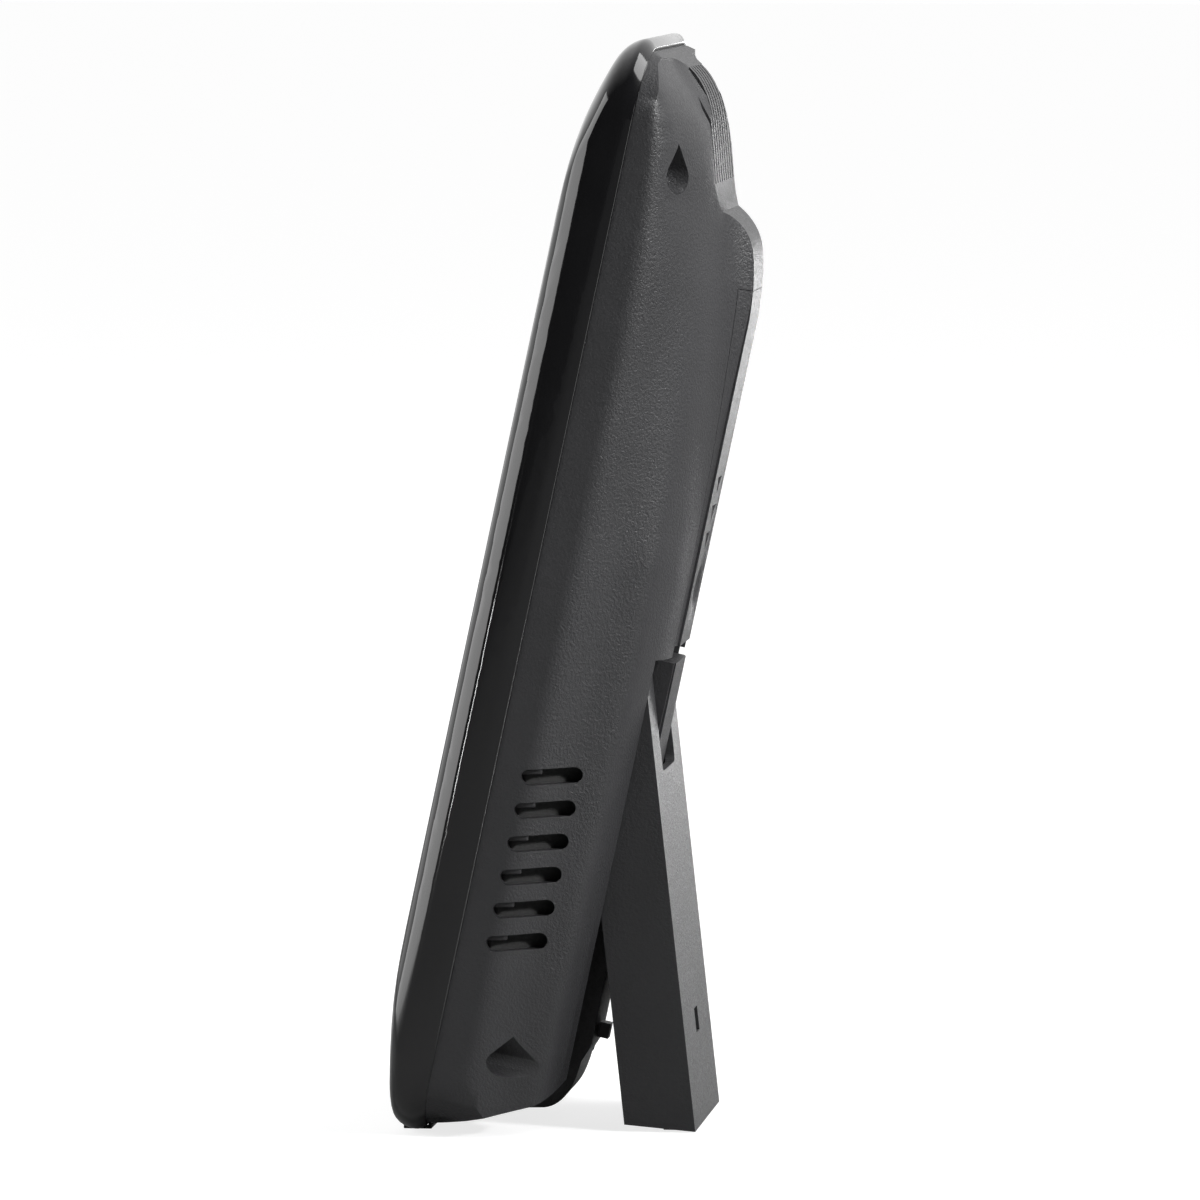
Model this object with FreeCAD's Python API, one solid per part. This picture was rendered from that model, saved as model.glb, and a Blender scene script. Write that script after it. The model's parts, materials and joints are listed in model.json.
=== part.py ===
"""A tall slab cordless telephone that leans back on a fold-out stand.

Every piece is drawn upright first: X runs across, Y runs from the front face
to the back, Z runs up the slab from its bottom lip.  place() then leans the
whole telephone back and sets it on the floor.  Lengths are millimetres.
"""

import math
import os

import FreeCAD, Part
from FreeCAD import Vector

# Whole telephone
LEAN = 12.0            # degrees the slab leans back
FLOOR = -1.9           # floor height in the leaned slab's own measure
LENGTH = 174.0
HALF_WIDTH = 32.0
SEAM = 8.9             # depth of the seam between bezel and housing
BACK = 30.8            # depth of the flat strip down the back

# Stand, drawn folded flat and then swung open about its pins
STAND_OPEN = 18.3      # degrees
PIVOT = (24.0, 58.8)   # depth and height of the pin axis
STAND_HALF = 18.0
STAND_WALL = 2.0
STAND_TOP = 77.1
STAND_BOTTOM = 3.2
STAND_FRONT = 22.0
STAND_REAR = 33.0
PIN_R = 1.2
NOTCH = 79.8           # top of the pocket the stand folds into
SPINE_HALF = 8.0

# Front face
LENS = (49.0, 39.0, 1.4)
LENS_Z = 130.0
KEY_COLUMNS = (-18.0, 0.0, 18.0)
KEY_ROWS = (80.0, 68.0, 56.0, 44.0)
KEY_SIZE = (13.0, 7.5, 2.6)
KEY_GAP = 0.15
NAV_Z = 98.0
EAR_Z = 158.0
MIC_Z = 24.0

# Boards
MAIN_BOARD = (9.8, 11.4)
KEY_BOARD = (5.3, 6.5)
BOARD_POSTS = [(s * 27.4, z) for s in (-1, 1) for z in (26.0, 110.0)]

# Screws, vents, grip ribs, battery
# Each corner screw: across, up, and the radius of the well it sits in
CORNER_SCREWS = [(s * x, z, r) for s in (-1, 1)
                 for x, z, r in ((28.0, 14.4, 2.3), (26.6, 154.6, 2.7))]
SCREW_SEAT = 13.8
VENT_TOP = 59.9
VENT_PITCH = 5.3
VENT_COUNT = 6
RIB_PITCH = 3.2
RIB_COUNT = 9
DOOR = (9.0, 27.8, 81.6, 138.4)   # half width, underside depth, bottom, top
CELL_R = 7.0
CELL = (20.2, 86.9, 136.9)         # depth of the axis, bottom, top


def box(x0, x1, y0, y1, z0, z1):
    return Part.makeBox(x1 - x0, y1 - y0, z1 - z0, Vector(x0, y0, z0))


def both(shape):
    """The shape and its twin on the other side of the middle."""
    return shape.fuse(shape.mirror(Vector(0, 0, 0), Vector(1, 0, 0)))


def join(shapes):
    shapes = list(shapes)
    return shapes[0].multiFuse(shapes[1:]) if len(shapes) > 1 else shapes[0]


def rod(x, z, radius, y0, y1):
    """A round bar from front to back."""
    return Part.makeCylinder(radius, y1 - y0, Vector(x, y0, z), Vector(0, 1, 0))


def bar(y, z, radius, x0, x1):
    """A round bar from side to side."""
    return Part.makeCylinder(radius, x1 - x0, Vector(x0, y, z), Vector(1, 0, 0))


def rounded_wire(half, z0, z1, r, y, x=0.0):
    """A rectangle with round corners, standing at depth y."""
    k = r * (1 - math.sqrt(0.5))
    xs, zs = (x - half, x + half), (z0, z1)
    at = lambda px, pz: Vector(px, y, pz)
    edges = []
    corners = [(xs[1], zs[0], -1, 1), (xs[1], zs[1], -1, -1),
               (xs[0], zs[1], 1, -1), (xs[0], zs[0], 1, 1)]
    ends = []
    for n, (cx, cz, sx, sz) in enumerate(corners):
        along_z = at(cx, cz + sz * r)
        along_x = at(cx + sx * r, cz)
        mid = at(cx + sx * k, cz + sz * k)
        start, stop = (along_x, along_z) if n % 2 == 0 else (along_z, along_x)
        ends.append((start, mid, stop))
    for n, (start, mid, stop) in enumerate(ends):
        edges.append(Part.Arc(start, mid, stop).toShape())
        edges.append(Part.makeLine(stop, ends[(n + 1) % 4][0]))
    return Part.Wire(edges)


def plate(half, z0, z1, r, y0, y1, x=0.0):
    """A slab with round corners from depth y0 to y1."""
    face = Part.Face(rounded_wire(half, z0, z1, r, y0, x))
    return face.extrude(Vector(0, y1 - y0, 0))


def loft(sections, ruled=False):
    """A solid through (depth, z0, z1, half width, corner radius) sections."""
    wires = [rounded_wire(h, z0, z1, r, y) for y, z0, z1, h, r in sections]
    return Part.makeLoft(wires, True, ruled)


def prism_x(points, half):
    """A (depth, height) polygon drawn out from side to side."""
    pts = [Vector(-half, y, z) for y, z in points]
    return Part.Face(Part.makePolygon(pts + pts[:1])).extrude(Vector(2 * half, 0, 0))


def curve(points):
    spline = Part.BSplineCurve()
    spline.interpolate(points)
    return spline.toShape()


def swung(shape, degrees):
    """The shape turned about the stand's pins; positive opens."""
    turned = shape.copy()
    turned.rotate(Vector(0, PIVOT[0], PIVOT[1]), Vector(1, 0, 0), degrees)
    return turned


def leaned_box(x0, x1, y0, y1, z0, z1):
    """A box squared to the floor, in the slab's upright frame."""
    made = box(x0, x1, y0, y1, z0, z1)
    made.rotate(Vector(0, 0, 0), Vector(1, 0, 0), LEAN)
    return made


# ---------------------------------------------------------------- rear housing
# The flank from the side wall in to the middle, as (half width, depth) points
# at each height: full below, drawn in toward the grip at the top.
FLANK = {
    95.0: [(31.6, 13.4), (31.1, 15.4), (29.6, 17.8), (27.6, 20.6), (26.3, 23.2),
           (24.8, 25.6), (22.0, 27.3), (16.0, 29.2), (7.2, 30.4)],
    124.0: [(31.6, 13.2), (31.1, 15.2), (29.6, 17.4), (27.2, 20.0), (25.0, 22.4),
            (22.2, 24.6), (18.2, 26.4), (12.4, 27.9), (7.2, 30.4)],
    138.0: [(31.6, 13.0), (31.1, 15.0), (29.6, 17.1), (27.0, 19.4), (24.2, 21.4),
            (21.0, 23.3), (17.4, 24.8), (13.4, 26.0), (7.2, 30.4)],
    145.0: [(31.6, 12.8), (31.0, 14.8), (29.4, 16.7), (26.6, 18.8), (23.6, 20.5),
            (20.4, 22.0), (17.2, 23.2), (13.9, 24.2), (7.4, 29.4)],
    151.0: [(31.6, 12.4), (31.0, 14.3), (29.3, 16.0), (26.4, 17.8), (23.4, 19.3),
            (20.4, 20.6), (17.4, 21.7), (14.4, 22.6), (8.0, 26.6)],
    158.0: [(31.6, 11.8), (31.0, 13.6), (29.2, 15.2), (26.3, 16.7), (23.4, 18.0),
            (20.4, 19.1), (17.4, 20.0), (14.5, 20.7), (9.0, 24.0)],
    164.0: [(31.6, 10.8), (31.0, 12.4), (29.2, 13.7), (26.3, 14.9), (23.4, 15.9),
            (20.4, 16.8), (17.4, 17.5), (14.5, 18.0), (9.0, 21.0)],
    167.0: [(31.6, 10.2), (31.0, 11.4), (29.2, 12.4), (26.3, 13.3), (23.4, 14.0),
            (20.4, 14.6), (17.4, 15.0), (14.5, 15.3), (9.0, 18.2)],
    170.0: [(31.6, 9.5), (31.0, 9.9), (29.2, 10.4), (26.3, 10.9), (23.4, 11.3),
            (20.4, 11.6), (17.4, 11.8), (14.5, 12.0), (9.0, 14.6)],
    175.0: [(31.6, 9.1), (31.0, 9.2), (29.2, 9.4), (26.3, 9.6), (23.4, 9.8),
            (20.4, 9.9), (17.4, 10.0), (14.5, 10.1), (9.0, 11.6)],
}
# The same for the hollow inside, two millimetres in.
HOLLOW = {
    100.0: [(29.6, 12.6), (27.0, 17.0), (24.4, 21.6), (22.4, 24.2), (19.4, 25.4), (7.0, 27.2)],
    124.0: [(29.6, 12.2), (27.0, 15.6), (24.2, 18.4), (20.8, 21.4), (16.4, 23.6), (7.0, 26.6)],
    138.0: [(29.6, 11.8), (27.0, 14.8), (24.0, 17.2), (20.4, 19.8), (15.6, 22.0), (7.0, 25.2)],
    145.0: [(29.6, 11.4), (27.0, 14.0), (24.0, 16.0), (20.0, 18.2), (14.6, 20.2), (7.0, 22.6)],
    151.0: [(29.6, 10.8), (27.0, 12.8), (24.0, 14.6), (20.0, 16.6), (14.6, 18.4), (7.0, 20.0)],
    158.0: [(29.6, 10.2), (27.0, 11.8), (24.0, 13.4), (20.0, 15.2), (14.6, 16.8), (7.0, 18.0)],
    164.0: [(29.6, 9.4), (27.0, 10.4), (24.0, 11.6), (20.0, 12.8), (14.6, 14.0), (7.0, 15.2)],
    168.0: [(29.6, 9.0), (27.0, 9.2), (24.0, 9.6), (20.0, 10.2), (14.6, 11.0), (7.0, 12.0)],
}


def flank_wire(points, z, base, smooth):
    right = [Vector(x, y, z) for x, y in points]
    left = [Vector(-p.x, p.y, z) for p in reversed(right)]
    foot = [Vector(-points[0][0], base, z), Vector(points[0][0], base, z)]
    if not smooth:
        loop = foot + right + left
        return Part.makePolygon(loop + loop[:1])
    return Part.Wire([Part.makeLine(foot[0], foot[1]), Part.makeLine(foot[1], right[0]),
                      curve(right), Part.makeLine(right[-1], left[0]), curve(left),
                      Part.makeLine(left[-1], foot[0])])


def section_at(table, z):
    """The table's points at any height, on smooth curves through its rows."""
    rows = sorted(table)
    n = max(0, min(len(rows) - 2, sum(z >= h for h in rows) - 1))
    a, b = rows[n], rows[n + 1]
    t = (z - a) / (b - a)
    points = []
    for k, (p, q) in enumerate(zip(table[a], table[b])):
        pair = []
        for axis in (0, 1):
            slope_a = slope_b = (q[axis] - p[axis]) / (b - a)
            if n > 0:
                slope_a = (q[axis] - table[rows[n - 1]][k][axis]) / (b - rows[n - 1])
            if n + 2 < len(rows):
                slope_b = (table[rows[n + 2]][k][axis] - p[axis]) / (rows[n + 2] - a)
            pair.append((2 * t**3 - 3 * t**2 + 1) * p[axis] + (3 * t**2 - 2 * t**3) * q[axis]
                        + (b - a) * ((t**3 - 2 * t**2 + t) * slope_a + (t**3 - t**2) * slope_b))
        points.append(tuple(pair))
    return points


def flank(table, base, smooth):
    """A straight lower length and a shaped upper length, joined."""
    rows = sorted(table)
    low = Part.Face(flank_wire(table[rows[0]], -10, base, smooth))
    low = low.extrude(Vector(0, 0, rows[0] + 10))
    heights = rows
    if smooth:
        count = int((rows[-1] - rows[0]) / 4)
        heights = [rows[0] + (rows[-1] - rows[0]) * n / count for n in range(count + 1)]
    wires = [flank_wire(section_at(table, z), z, base, smooth) for z in heights]
    return low.fuse(Part.makeLoft(wires, True, True))


def housing_side(inset=0.0):
    """The housing's outline seen from the side: top grip, hump and foot."""
    if inset:
        return prism_x([(0, 4.0), (9.5, 4.0), (16.0, 6.2), (24.5, 10.2), (27.6, 14.5),
                        (27.6, 139.0), (23.0, 147.0), (20.4, 152.0), (18.0, 159.8),
                        (15.4, 165.4), (12.6, 168.4), (0, 170.0)], 40)
    hump = [(BACK, 134.0), (30.4, 138.6), (29.7, 142.6), (28.4, 146.2), (26.2, 148.6),
            (23.6, 149.9)]
    grip = [(23.6, 149.9), (22.4, 152.3), (20.8, 157.2), (19.4, 161.8), (18.1, 165.3),
            (16.6, 167.8), (14.6, 169.9), (12.2, 171.3), (9.0, 172.4)]
    at = lambda p: Vector(-40, p[0], p[1])
    foot = [(0, 1.7), (9.0, 1.7), (15.5, 4.1), (24.4, 8.0)]
    edges = [Part.makeLine(at(a), at(b)) for a, b in zip(foot, foot[1:])]
    edges += [curve([at(p) for p in ((24.4, 8.0), (26.4, 9.4), (28.4, 12.2), (BACK, 18.0))]),
              Part.makeLine(at((BACK, 18.0)), at(hump[0])),
              curve([at(p) for p in hump]), curve([at(p) for p in grip]),
              Part.makeLine(at(grip[-1]), at((0, 172.4))),
              Part.makeLine(at((0, 172.4)), at(foot[0]))]
    return Part.Face(Part.Wire(edges)).extrude(Vector(80, 0, 0))


def spine():
    """The keel between the stand's two arms."""
    turn = [(25.0, 5.7), (27.0, 6.9), (28.3, 8.9), (29.1, 12.0), (29.6, 17.0)]
    at = lambda p: Vector(-SPINE_HALF, p[0], p[1])
    line = [(29.6, 17.0), (30.6, NOTCH + 1), (12.0, NOTCH + 1), (12.0, 4.4), (22.0, 5.0),
            (25.0, 5.7)]
    edges = [curve([at(p) for p in turn])]
    edges += [Part.makeLine(at(a), at(b)) for a, b in zip(line, line[1:])]
    return Part.Face(Part.Wire(edges)).extrude(Vector(2 * SPINE_HALF, 0, 0))


def housing_body():
    outline = plate(31.6, 1.7, 172.4, 10.0, SEAM, 40)
    strip = box(-7, 7, 20, BACK + 5, 60, 155)
    return flank(FLANK, SEAM, True).fuse(strip).common(housing_side()).common(outline).fuse(spine())


def housing_cavity():
    base = SEAM - 0.01
    outline = plate(29.6, 4.0, 170.0, 8.0, base, 40)
    return flank(HOLLOW, base, False).common(housing_side(1)).common(outline)


def stand_pocket(grow=0.0):
    """The space the folded stand lies in, left and right of the spine."""
    g = grow
    main = box(-18.5 - g, 18.5 + g, 21.5 - g, 45, -10, NOTCH + g)
    deep = both(box(15.5 - g, 18.5 + g, 15.6 - g, 45, 55.0 - g, NOTCH + g))
    pocket = main.fuse(deep)
    if grow:
        return pocket.cut(box(-6.2, 6.2, 10, BACK - 2.6, 10.5, NOTCH))
    return pocket.cut(box(-SPINE_HALF, SPINE_HALF, 10, 45, 0, NOTCH + 5))


def teardrop(x, z, r, y0):
    """A screw well: round with a point that runs up the slab."""
    round_part = rod(x, z, r, y0, 40)
    tip = [Vector(x - 0.85 * r, y0, z + 0.52 * r), Vector(x + 0.85 * r, y0, z + 0.52 * r),
           Vector(x, y0, z + 1.85 * r)]
    wedge = Part.Face(Part.makePolygon(tip + tip[:1])).extrude(Vector(0, 40 - y0, 0))
    return round_part.fuse(wedge)


def vents(side):
    """Six slots that wrap the rear corner, each climbing toward the back."""
    cuts = []
    for n in range(VENT_COUNT):
        z = VENT_TOP - n * VENT_PITCH
        slot = join([box(21.5, 40, 14.2, 20.8, z - 1.25, z + 1.25),
                     bar(14.2, z, 1.25, 21.5, 40), bar(20.8, z, 1.25, 21.5, 40)])
        slot.rotate(Vector(0, 17.5, z), Vector(1, 0, 0), 13)
        cuts.append(slot)
    made = join(cuts)
    return made if side > 0 else made.mirror(Vector(0, 0, 0), Vector(1, 0, 0))


def grip_grooves():
    """Fine grooves that run over the top rear edge."""
    skin = housing_side()
    inner = housing_side()
    inner.translate(Vector(0, -0.75, -0.75))
    band = skin.cut(inner)
    first = -RIB_PITCH * (RIB_COUNT - 1) / 2
    slots = [box(first + n * RIB_PITCH - 0.5, first + n * RIB_PITCH + 0.5,
                 13.5, 40, 154.0, 180) for n in range(RIB_COUNT)]
    return band.common(join(slots))


def rear_housing():
    body = housing_body()
    shell = body.cut(housing_cavity())
    shell = shell.fuse(stand_pocket(1.8).common(body))
    bosses = join(rod(x, z, r + 1.5, SEAM, 40) for x, z, r in CORNER_SCREWS)
    shell = shell.fuse(bosses.common(body))
    nub = box(-1.5, 1.5, BACK - 1, BACK + 1.3, 17.6, 20.0)
    shell = shell.fuse(nub)
    half, under, z0, z1 = DOOR
    cuts = [stand_pocket(),
            box(-half - 0.1, half + 0.1, under - 0.1, 40, NOTCH - 1, z1 + 0.1),
            box(-7.8, 7.8, 20, 40, CELL[1] - 0.6, CELL[2] + 0.6),
            vents(1), vents(-1), grip_grooves(),
            box(-4.7, 4.7, 11.3, 14.9, -5, 6),
            both(bar(PIVOT[0], PIVOT[1], PIN_R, 18, 20.3))]
    for x, z, r in CORNER_SCREWS:
        cuts += [teardrop(x, z, r, SCREW_SEAT), rod(x, z, 1.3, 0, 40)]
    return shell.cut(join(cuts))


def battery_door():
    half, under, z0, z1 = DOOR
    door = housing_body().common(box(-half, half, under, 40, z0, z1))
    scoop = Part.makeSphere(9.0, Vector(0, BACK + 8.2, 90.5))
    marks = []
    for z in (107.0, 102.4, 98.0):
        pts = [Vector(-2.6, BACK - 0.5, z + 1.4), Vector(2.6, BACK - 0.5, z + 1.4),
               Vector(0, BACK - 0.5, z - 1.4)]
        marks.append(Part.Face(Part.makePolygon(pts + pts[:1])).extrude(Vector(0, 5, 0)))
    return door.cut(join([scoop] + marks))


# ---------------------------------------------------------------- front bezel
def bezel_body():
    return loft([(0.0, 25.0, 152.0, 28.0, 7.0), (0.3, 18.6, 157.2, 29.6, 8.4),
                 (1.1, 12.2, 162.0, 30.8, 9.6), (1.9, 7.6, 165.2, 31.3, 10.2),
                 (3.2, 2.5, 169.4, 31.8, 11.0), (4.4, 0.8, 171.9, 31.95, 11.4),
                 (5.9, 0.1, 173.4, HALF_WIDTH, 11.7), (7.2, 0.0, LENGTH, HALF_WIDTH, 11.8),
                 (SEAM, 0.9, 173.0, 31.7, 11.4)])


def bezel_cavity():
    return loft([(2.0, 22.0, 154.5, 28.0, 6.0), (3.2, 13.5, 161.0, 29.2, 7.0),
                 (5.4, 4.8, 168.4, 29.9, 8.6), (SEAM + 0.01, 3.0, 170.8, 30.0, 9.4)],
                ruled=True)


def key_sites():
    """Every key's name, middle, half width, half height and corner radius."""
    names = [["1", "2", "3"], ["4", "5", "6"], ["7", "8", "9"], ["star", "0", "hash"]]
    w, h, r = KEY_SIZE
    sites = [("key_" + names[i][j], x, z, w / 2, h / 2, r)
             for i, z in enumerate(KEY_ROWS) for j, x in enumerate(KEY_COLUMNS)]
    for name, s in (("left", -1), ("right", 1)):
        sites.append(("key_soft_" + name, s * 17.5, 103.4, 5.5, 2.4, 1.8))
    sites.append(("key_talk", -17.5, 93.0, 5.5, 3.5, 2.4))
    sites.append(("key_end", 17.5, 93.0, 5.5, 3.5, 2.4))
    return sites


def front_bezel():
    shell = bezel_body().cut(bezel_cavity())
    inside = bezel_body()
    posts = [rod(x, z, 1.9, 1.5, MAIN_BOARD[0]) for x, z in BOARD_POSTS]
    posts += [rod(x, z, 2.8, 1.5, SEAM) for x, z, _ in CORNER_SCREWS]
    ledge = both(box(25.5, 26.8, 1.6, KEY_BOARD[0], 22, 106))
    shell = join([shell, ledge] + [p.common(inside) if p.BoundBox.YMax <= SEAM + 0.001
                                   else p for p in posts])
    w, h, t = LENS
    cuts = [plate(w / 2, LENS_Z - h / 2, LENS_Z + h / 2, 3.0, -1, t),
            plate(w / 2 - 2.2, LENS_Z - h / 2 + 2.2, LENS_Z + h / 2 - 2.2, 1.2, -1, 5),
            plate(7.0, EAR_Z - 0.9, EAR_Z + 0.9, 0.85, -1, 5),
            rod(0, MIC_Z, 0.6, -1, 5), rod(0, NAV_Z, 8.0, -1, 2.5)]
    cuts += [plate(a, z - b, z + b, r, -1, 2.5, x) for _, x, z, a, b, r in key_sites()]
    cuts += [rod(x, z, 0.8, 5, 12) for x, z in BOARD_POSTS]
    cuts += [rod(x, z, 1.1, 4.6, 12) for x, z, _ in CORNER_SCREWS]
    return shell.cut(join(cuts))


def key_cap(x, z, a, b, r):
    g = KEY_GAP
    cap = plate(a - g, z - b + g, z + b - g, r - g, 0.1, 2.5, x)
    flange = plate(a + 0.7, z - b - 0.7, z + b + 0.7, r, 2.02, 3.0, x)
    return cap.fuse(flange)


def nav_ring():
    ring = rod(0, NAV_Z, 8.0 - KEY_GAP, 0.1, 2.5).fuse(rod(0, NAV_Z, 8.7, 2.02, 3.0))
    return ring.cut(rod(0, NAV_Z, 4.2, -1, 4))


def ok_key():
    return rod(0, NAV_Z, 4.05, 0.1, 3.0)


def keypad_mat():
    sheet = box(-24.8, 24.8, 4.1, KEY_BOARD[0], 28, 106)
    domes = [rod(x, z, 2.3, 3.6, 4.2) for _, x, z, *_ in key_sites()]
    domes += [rod(x, z, 1.0, 3.6, 4.2) for x, z in
              ((6.2, NAV_Z), (-6.2, NAV_Z), (0, NAV_Z + 6.2), (0, NAV_Z - 6.2))]
    domes.append(rod(0, NAV_Z, 2.3, 3.6, 4.2))
    return join([sheet] + domes)


# ---------------------------------------------------------------- inside pieces
def display_frame():
    y0, y1 = 5.2, MAIN_BOARD[0]
    return box(-22, 22, y0, y1, 115, 147).cut(box(-20.4, 20.4, y0 - 1, y1 + 1, 116.6, 145.4))


def keypad_board():
    board = plate(26.6, 20.0, 108.0, 2.0, *KEY_BOARD)
    return board.cut(join(rod(x, z, 2.0, 0, 20) for x, z in BOARD_POSTS))


def main_board():
    y0, y1 = MAIN_BOARD
    board = plate(29.2, 7.0, 163.6, 6.0, y0, y1)
    holes = [rod(x, z, r + 1.8, 0, 20) for x, z, r in CORNER_SCREWS]
    holes += [rod(x, z, 0.95, 0, 20) for x, z in BOARD_POSTS]
    return board.cut(join(holes)).common(housing_cavity())


def main_chips():
    y = MAIN_BOARD[1]
    spots = [(-19, -9, 143.5, 153.5, 1.2), (9, 17, 144, 150, 1.0), (-26, -20, 66, 76, 1.4),
             (20.6, 26, 88, 100, 1.6), (-27, -21, 118, 126, 1.1), (-12, -6, 14, 20, 1.2)]
    return Part.makeCompound([box(a, b, y, y + t, c, d) for a, b, c, d, t in spots])


def battery_tray():
    y1 = 27.6
    tray = box(-9.4, 9.4, MAIN_BOARD[1], y1, CELL[1] - 2.4, CELL[2] + 2.4)
    tray = tray.cut(box(-7.8, 7.8, CELL[0] - CELL_R, 40, CELL[1] - 0.6, CELL[2] + 0.6))
    return tray.common(housing_cavity())


def battery_cell():
    y, z0, z1 = CELL
    can = Part.makeCylinder(CELL_R, z1 - z0 - 1.2, Vector(0, y, z0), Vector(0, 0, 1))
    tip = Part.makeCylinder(2.6, 1.2, Vector(0, y, z1 - 1.2), Vector(0, 0, 1))
    return can.fuse(tip)


def battery_contacts():
    y, z0, z1 = CELL
    return Part.makeCompound([box(-3.5, 3.5, y - 4, y + 4, z0 - 0.6, z0),
                              box(-3.5, 3.5, y - 4, y + 4, z1, z1 + 0.6)])


def loudspeaker(side):
    can = plate(4.4, 28.6, 63.4, 2.0, MAIN_BOARD[1], 23.0, 24.6 * side)
    return can.cut(stand_pocket(1.8)).common(housing_cavity())


def charging_socket():
    y = MAIN_BOARD[1]
    outer = Part.makeBox(9.0, 3.2, 7.0, Vector(-4.5, y, 3.8))
    inner = Part.makeBox(8.2, 2.4, 6.4, Vector(-4.1, y + 0.4, 3.0))
    tongue = Part.makeBox(6.4, 0.7, 5.2, Vector(-3.2, y + 1.25, 4.4))
    return outer.cut(inner).fuse(tongue)


def housing_screw(x, z, r):
    seat = SCREW_SEAT
    head = rod(x, z, r - 0.4, seat, seat + 1.5)
    cross = box(x - 1.3, x + 1.3, seat + 0.7, seat + 3, z - 0.25, z + 0.25)
    cross = cross.fuse(box(x - 0.25, x + 0.25, seat + 0.7, seat + 3, z - 1.3, z + 1.3))
    return head.cut(cross).fuse(rod(x, z, 1.1, 4.8, seat))


def board_screw(x, z):
    head = rod(x, z, 1.7, MAIN_BOARD[1], MAIN_BOARD[1] + 1.0)
    return head.fuse(rod(x, z, 0.8, 5.4, MAIN_BOARD[1]))


# ---------------------------------------------------------------- stand
def stand():
    w = STAND_WALL
    heel = 0.2 * (STAND_REAR - STAND_FRONT)
    outer = prism_x([(STAND_FRONT, STAND_BOTTOM + heel), (STAND_REAR, STAND_BOTTOM),
                     (STAND_REAR, STAND_TOP), (STAND_FRONT, STAND_TOP)], STAND_HALF)
    inner = prism_x([(STAND_FRONT - 10, STAND_BOTTOM + heel + 3.6),
                     (STAND_REAR - 1.5, STAND_BOTTOM + 1.9),
                     (STAND_REAR - 1.5, STAND_TOP + 5), (STAND_FRONT - 10, STAND_TOP + 5)],
                    STAND_HALF - w)
    spine_way = box(-8.8, 8.8, 0, 28.5, 0, 20)
    channel = outer.cut(inner).cut(spine_way)
    slot = plate(8.6, STAND_TOP - 18.0, STAND_TOP + 15, 1.5, 20, 40)
    latch = box(-2.1, 2.1, 29, 40, 16.9, 20.7)
    pin_hole = bar(PIVOT[0], PIVOT[1], PIN_R + 0.05, -20, 20)
    shape = channel.cut(join([slot, latch, pin_hole]))
    shape = swung(shape, STAND_OPEN)
    return shape.cut(foot_strip())


def foot_strip():
    """The stand's rubber strip, flat on the floor under the heel."""
    return leaned_box(-15, 15, 45.4, 49.4, FLOOR, FLOOR + 1.3)


def stand_foot():
    return foot_strip()


def front_feet():
    """Two rubber pads under the bezel's bottom lip."""
    pads = both(leaned_box(6, 18, 4.8, 9.2, FLOOR, FLOOR + 1.6))
    return pads.cut(bezel_body()).cut(housing_body())


def detent_washers():
    ring = bar(PIVOT[0], PIVOT[1], 2.3, 14.9, 16.0)
    ring = ring.cut(bar(PIVOT[0], PIVOT[1], PIN_R + 0.05, 10, 20))
    return Part.makeCompound([ring, ring.mirror(Vector(0, 0, 0), Vector(1, 0, 0))])


def stand_pins():
    pin = bar(PIVOT[0], PIVOT[1], PIN_R, 14.4, 20.3)
    return Part.makeCompound([pin, pin.mirror(Vector(0, 0, 0), Vector(1, 0, 0))])


def build():
    w, h, t = LENS
    pieces = {
        "front_bezel": front_bezel(),
        "rear_housing": rear_housing(),
        "battery_door": battery_door(),
        "display_lens": plate(w / 2, LENS_Z - h / 2, LENS_Z + h / 2, 3.0, 0, t),
        "display_module": plate(23.6, LENS_Z - 18.6, LENS_Z + 18.6, 0.6, 2.0, 5.2),
        "display_frame": display_frame(),
        "earpiece_grille": plate(7.0, EAR_Z - 0.9, EAR_Z + 0.9, 0.85, 1.3, 1.9),
        "earpiece_speaker": plate(8.5, EAR_Z - 3.2, EAR_Z + 3.2, 2.0, 3.9, MAIN_BOARD[0]),
        "microphone": rod(0, MIC_Z, 2.2, 2.05, KEY_BOARD[0]),
        "keypad_mat": keypad_mat(),
        "keypad_board": keypad_board(),
        "board_connector": box(-8, 8, KEY_BOARD[1], MAIN_BOARD[0], 99, 104),
        "main_board": main_board(),
        "main_chips": main_chips(),
        "radio_shield": plate(11.0, 26.0, 52.0, 1.0, MAIN_BOARD[1], MAIN_BOARD[1] + 2.4),
        "antenna": box(-19, 19, MAIN_BOARD[1], 12.4, 156.5, 161.5),
        "loudspeaker_left": loudspeaker(-1),
        "loudspeaker_right": loudspeaker(1),
        "battery_tray": battery_tray(),
        "battery_cell": battery_cell(),
        "battery_contacts": battery_contacts(),
        "charging_socket": charging_socket(),
        "housing_screws": Part.makeCompound([housing_screw(*s) for s in CORNER_SCREWS]),
        "board_screws": Part.makeCompound([board_screw(*s) for s in BOARD_POSTS]),
        "front_feet": front_feet(),
        "stand": stand(),
        "stand_foot": stand_foot(),
        "stand_pins": stand_pins(),
        "detent_washers": detent_washers(),
        "key_nav": nav_ring(),
        "key_ok": ok_key(),
    }
    for name, x, z, a, b, r in key_sites():
        pieces[name] = key_cap(x, z, a, b, r)
    return pieces


def place(pieces):
    """Lean the telephone back, stand it on z = 0 and centre it over the origin."""
    for shape in pieces.values():
        shape.rotate(Vector(0, 0, 0), Vector(1, 0, 0), -LEAN)
    boxes = [s.optimalBoundingBox(False, False) for s in pieces.values()]
    middle = (min(b.YMin for b in boxes) + max(b.YMax for b in boxes)) / 2
    low = min(b.ZMin for b in boxes)
    for shape in pieces.values():
        shape.translate(Vector(0, -middle, -FLOOR))
    print("shift", round(-middle, 4), "lowest", round(low - FLOOR, 4))


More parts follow.
